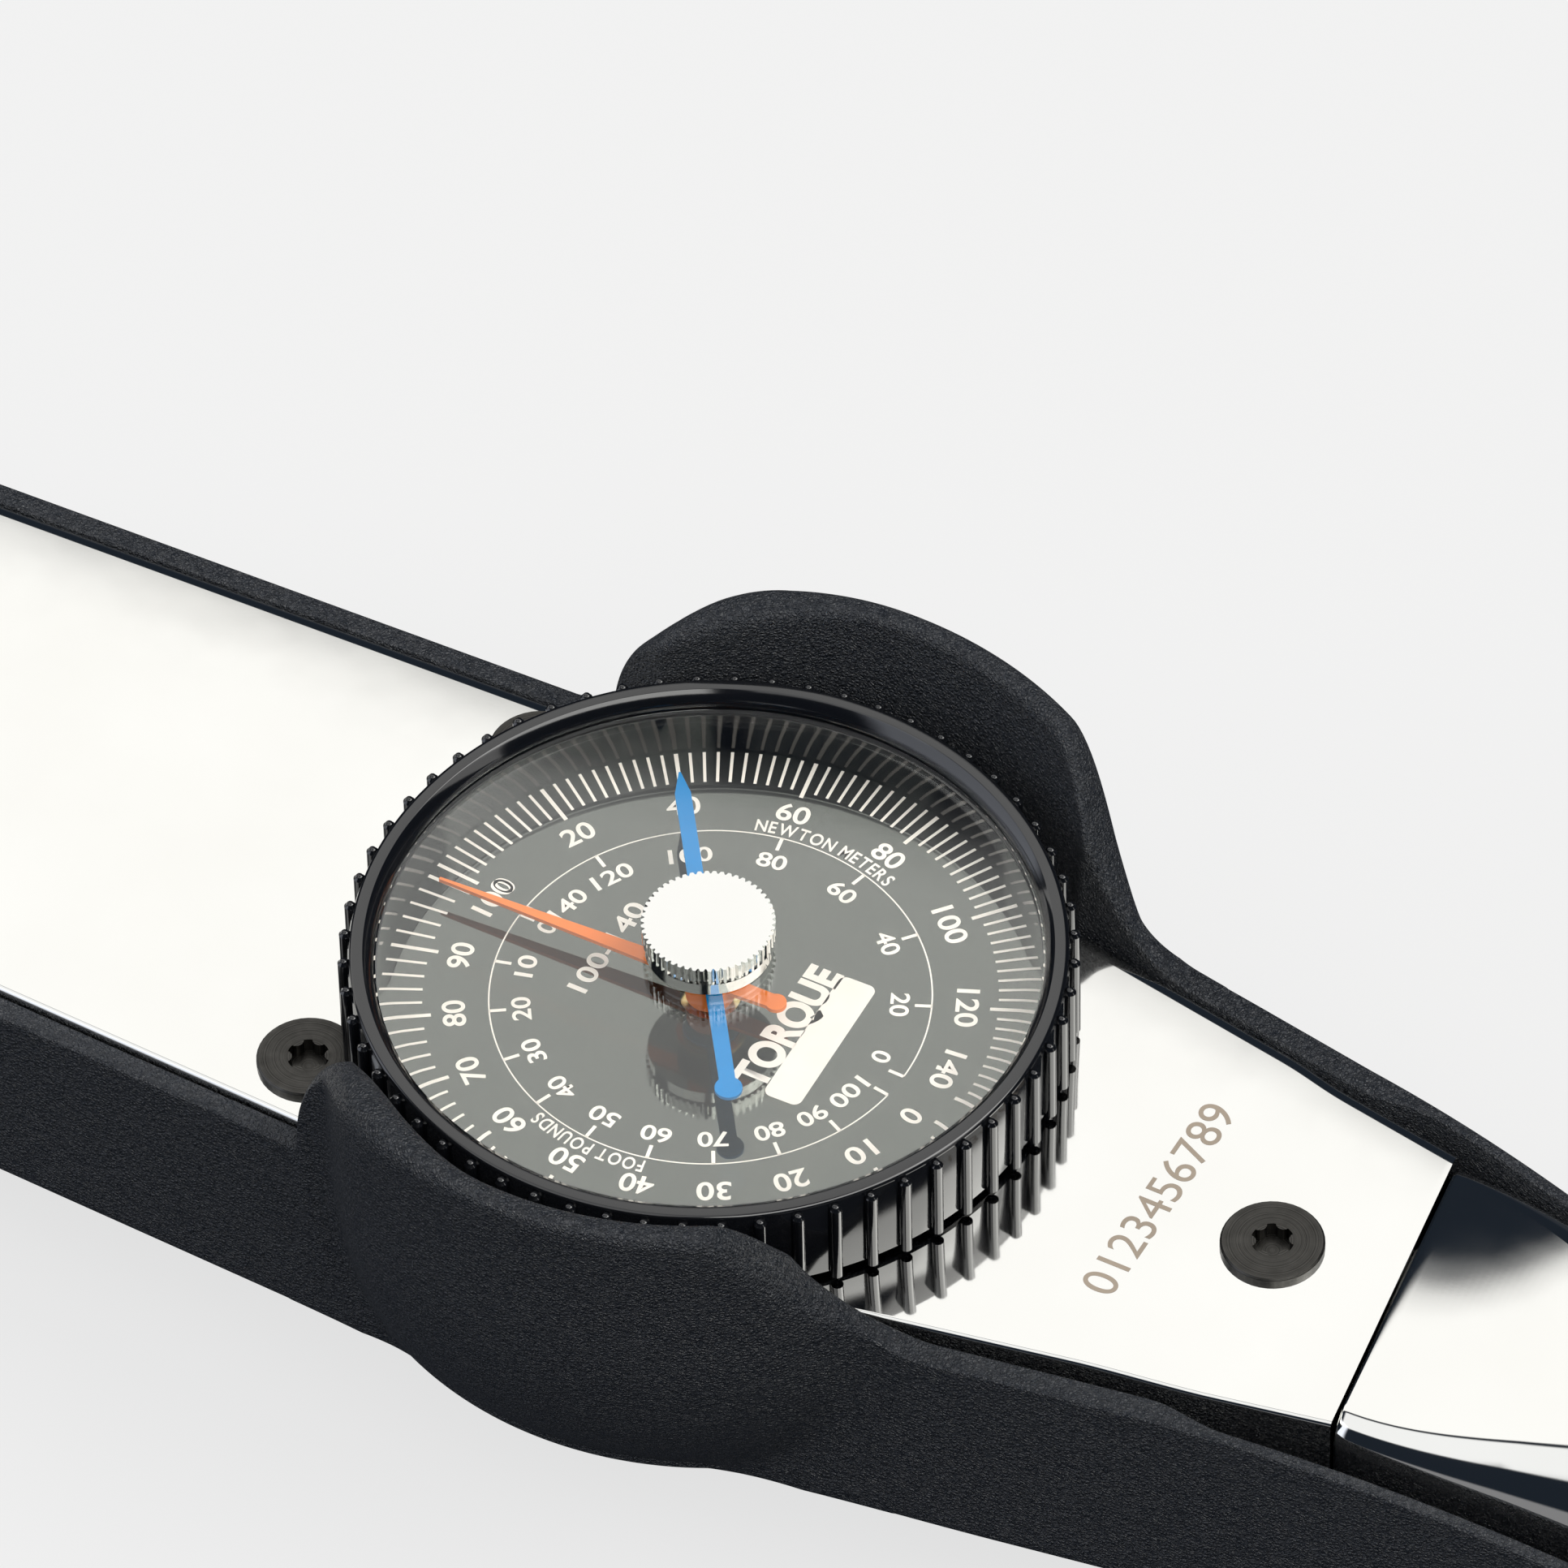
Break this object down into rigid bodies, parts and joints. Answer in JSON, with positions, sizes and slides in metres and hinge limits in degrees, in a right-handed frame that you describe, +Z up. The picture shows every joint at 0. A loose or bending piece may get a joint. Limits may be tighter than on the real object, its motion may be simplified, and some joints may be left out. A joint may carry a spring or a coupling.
{
  "type": "dial torque wrench",
  "caption": "Hand torque wrench with a square drive, a twin-scale dial with torque and memory pointers, a rotating bezel, a rubber boot and a gripped handle.",
  "frame": {"origin": "on the drive axis, at the shoulder that a socket seats against", "axes": "+X from the square drive to the handle, +Z up out of the dial, square drive pointing down"},
  "size_m": [0.438, 0.0928, 0.0619],
  "materials": {
    "polished_chrome": "mirror polished chrome plate",
    "plated_steel": "satin plated sheet steel",
    "black_rubber": "matt, fine leather grain",
    "grip_rubber": "matt, grooved",
    "black_plastic": "matt moulded",
    "black_steel": "black oxide, turned",
    "steel": "machined",
    "spring_steel": "blued spring steel",
    "drive_steel": "satin chrome",
    "bronze": "sintered bronze",
    "brass": "machined brass",
    "orange_paint": "matt orange paint",
    "blue_paint": "satin blue paint",
    "aluminium": "machined",
    "gloss_black": "gloss black",
    "clear_lens": "clear",
    "dial_grey": "gloss dark grey with cream markings"
  },
  "bodies": {
    "housing": {"top_cover": "polished_chrome", "lower_cover": "plated_steel", "protective_boot": "black_rubber", "cover_screws": "black_steel", "standoffs": "steel", "lower_cover_screws": "black_steel", "handle_tube": "polished_chrome", "grip": "grip_rubber", "end_cap": "black_plastic", "anchor_block": "steel", "tube_rivets": "steel", "flexure_beam": "spring_steel", "beam_screws": "black_steel", "upper_drive_bush": "bronze", "lower_drive_bush": "bronze", "stop_pins": "steel", "spindle_bush": "brass", "movement_bridge": "brass", "bridge_pillars": "brass", "bridge_screws": "black_steel", "hairspring": "spring_steel", "hairspring_stud": "brass", "bezel_seat": "aluminium", "seat_screws": "black_steel"},
    "drive": {"drive_head": "drive_steel", "sector_arm": "steel", "sector_screws": "black_steel", "detent_spring": "spring_steel"},
    "detent": {"detent_ball": "drive_steel"},
    "pointer": {"pointer_spindle": "steel", "pointer_pinion": "brass", "torque_pointer": "orange_paint"},
    "bezel_ring": {"bezel": "gloss_black", "bezel_wire": "spring_steel", "lens": "clear_lens", "lens_gasket": "black_rubber", "dial_face": "dial_grey", "memory_bush": "brass"},
    "memory": {"memory_knob": "polished_chrome", "memory_shaft": "steel", "memory_washer": "bronze", "memory_pointer": "blue_paint"}
  },
  "joints": [
    {"name": "drive_twist", "type": "hinge", "parent": "housing", "child": "drive", "pos_m": [0, 0, 0], "axis": [0, 0, 1], "range_deg": [-5.1, 5.1], "stiffness_Nm_per_rad": 1590, "deforming": ["flexure_beam"]},
    {"name": "pointer_turn", "type": "hinge", "parent": "housing", "child": "pointer", "pos_m": [0.115, 0, 0.028], "axis": [0, 0, 1], "range_deg": [-180, 180]},
    {"name": "bezel_turn", "type": "hinge", "parent": "housing", "child": "bezel_ring", "pos_m": [0.115, 0, 0.028], "axis": [0, 0, 1], "continuous": true},
    {"name": "memory_turn", "type": "hinge", "parent": "bezel_ring", "child": "memory", "pos_m": [0.115, 0, 0.028], "axis": [0, 0, 1], "continuous": true},
    {"name": "ball_press", "type": "slide", "parent": "drive", "child": "detent", "axis": [0, -1, 0], "range_m": [-0.0009, 0], "stiffness_N_per_m": 1500, "springref_m": 0.0006, "deforming": ["detent_spring"]}
  ],
  "couplings": [
    {"joint": "pointer_turn", "follows": "drive_twist", "ratio": -34.938}
  ]
}
